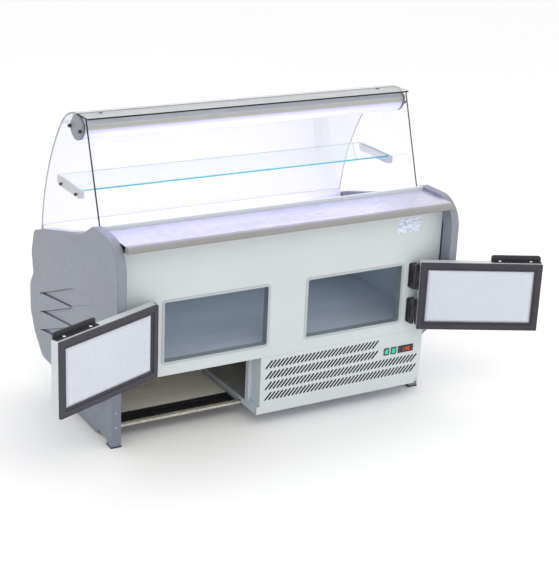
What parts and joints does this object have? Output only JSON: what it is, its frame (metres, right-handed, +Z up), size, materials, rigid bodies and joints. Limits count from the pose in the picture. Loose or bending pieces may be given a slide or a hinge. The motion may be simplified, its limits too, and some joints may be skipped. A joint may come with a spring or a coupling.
{
  "type": "refrigerated deli case",
  "caption": "Serve-over refrigerated deli case with curved front glass, glass shelf, lamp canopy, two insulated service doors and a slotted compressor compartment.",
  "frame": {"origin": "on the floor below the middle of the whole case, measured with both doors standing open as built; the doors open to slightly different angles, which puts it 5 mm off the middle of the length", "axes": "+X along the case towards the operator's right, +Y from the operator's side towards the customer's side, +Z up"},
  "size_m": [2.1057, 1.0977, 1.241],
  "materials": {
    "abs_grey": "moulded grey ABS, fine grain",
    "frame_paint": "blue-grey powder coat",
    "black_rubber": "matt extruded rubber",
    "galvanised": "galvanised sheet",
    "tray_paint": "dark painted sheet",
    "white_paint": "satin white powder coat",
    "foam_core": "rigid foam core",
    "stainless": "brushed stainless sheet",
    "trim_plastic": "extruded grey trim",
    "nose_grey": "extruded grey edging",
    "coil_metal": "fins and galvanised plates",
    "clear_glass": "clear tempered glass",
    "anodised": "satin anodised",
    "lens_plastic": "translucent diffuser",
    "black_plastic": "black moulded plastic",
    "liner_plastic": "formed white liner",
    "steel_pin": "ground pin",
    "compressor_black": "black enamel",
    "copper": "drawn copper tube",
    "rocker_green": "lit translucent green",
    "button_grey": "moulded keys"
  },
  "bodies": {
    "case": {"side_panel_left": "abs_grey", "side_panel_right": "abs_grey", "canopy_caps": "abs_grey", "leg_frames": "frame_paint", "unit_frame": "frame_paint", "foot_pads": "black_rubber", "base_rails": "galvanised", "support_rails": "galvanised", "base_tray": "tray_paint", "rear_panel": "white_paint", "grille_panel": "white_paint", "front_panel": "white_paint", "fascia_panel": "white_paint", "kick_plate": "white_paint", "upstand_rail": "white_paint", "duct_panel": "white_paint", "foam_insulation": "foam_core", "chamber_liner": "stainless", "worktop": "stainless", "deck_trays": "stainless", "opening_trims": "trim_plastic", "nose_profile": "nose_grey", "bumper_profile": "nose_grey", "evaporator": "coil_metal", "condenser": "coil_metal", "fan_unit": "coil_metal", "side_glasses": "clear_glass", "top_glass": "clear_glass", "shelf_glass": "clear_glass", "canopy_profile": "anodised", "shelf_brackets": "anodised", "lamp_lens": "lens_plastic", "canopy_knobs": "black_plastic", "shelf_screws": "black_plastic", "hinge_body_leaves": "black_plastic", "switch_bezels": "black_plastic", "thermostat": "black_plastic", "cable_gland": "black_plastic", "hinge_pins": "steel_pin", "compressor": "compressor_black", "refrigerant_lines": "copper"},
    "left_door": {"door_shell_left": "white_paint", "door_gasket_left": "black_rubber", "door_liner_left": "liner_plastic", "door_handle_left": "black_plastic", "hinge_door_leaves_left": "black_plastic"},
    "right_door": {"door_shell_right": "white_paint", "door_gasket_right": "black_rubber", "door_liner_right": "liner_plastic", "door_handle_right": "black_plastic", "hinge_door_leaves_right": "black_plastic"},
    "glass_front": {"front_glass": "clear_glass", "glass_rail": "anodised"},
    "fan": {"fan_blade": "black_plastic"},
    "switch_lamp": {"rocker_left": "rocker_green"},
    "switch_power": {"rocker_right": "rocker_green"},
    "key_set": {"button_set": "button_grey"},
    "key_up": {"button_up": "button_grey"},
    "key_light": {"button_light": "button_grey"},
    "key_down": {"button_down": "button_grey"}
  },
  "joints": [
    {"name": "left_door_hinge", "type": "hinge", "parent": "case", "child": "left_door", "pos_m": [-0.5765, -0.299, 0.476], "axis": [0, 0, 1], "range_deg": [0, 157]},
    {"name": "right_door_hinge", "type": "hinge", "parent": "case", "child": "right_door", "pos_m": [0.5765, -0.299, 0.476], "axis": [0, 0, -1], "range_deg": [0, 154]},
    {"name": "front_glass_tilt", "type": "hinge", "parent": "case", "child": "glass_front", "pos_m": [0, 0.488, 0.645], "axis": [-1, 0, 0], "range_deg": [0, 40]},
    {"name": "condenser_fan_spin", "type": "hinge", "parent": "case", "child": "fan", "pos_m": [0.175, -0.15, 0.18], "axis": [0, 1, 0], "continuous": true},
    {"name": "lamp_switch_rock", "type": "hinge", "parent": "case", "child": "switch_lamp", "pos_m": [0.4825, -0.269, 0.227], "axis": [1, 0, 0], "range_deg": [0, 12]},
    {"name": "power_switch_rock", "type": "hinge", "parent": "case", "child": "switch_power", "pos_m": [0.5175, -0.269, 0.227], "axis": [1, 0, 0], "range_deg": [0, 12]},
    {"name": "key_set_press", "type": "slide", "parent": "case", "child": "key_set", "axis": [0, 1, 0], "range_m": [0, 0.001], "stiffness_N_per_m": 300, "springref_m": -0.0003},
    {"name": "key_up_press", "type": "slide", "parent": "case", "child": "key_up", "axis": [0, 1, 0], "range_m": [0, 0.001], "stiffness_N_per_m": 300, "springref_m": -0.0003},
    {"name": "key_light_press", "type": "slide", "parent": "case", "child": "key_light", "axis": [0, 1, 0], "range_m": [0, 0.001], "stiffness_N_per_m": 300, "springref_m": -0.0003},
    {"name": "key_down_press", "type": "slide", "parent": "case", "child": "key_down", "axis": [0, 1, 0], "range_m": [0, 0.001], "stiffness_N_per_m": 300, "springref_m": -0.0003}
  ]
}
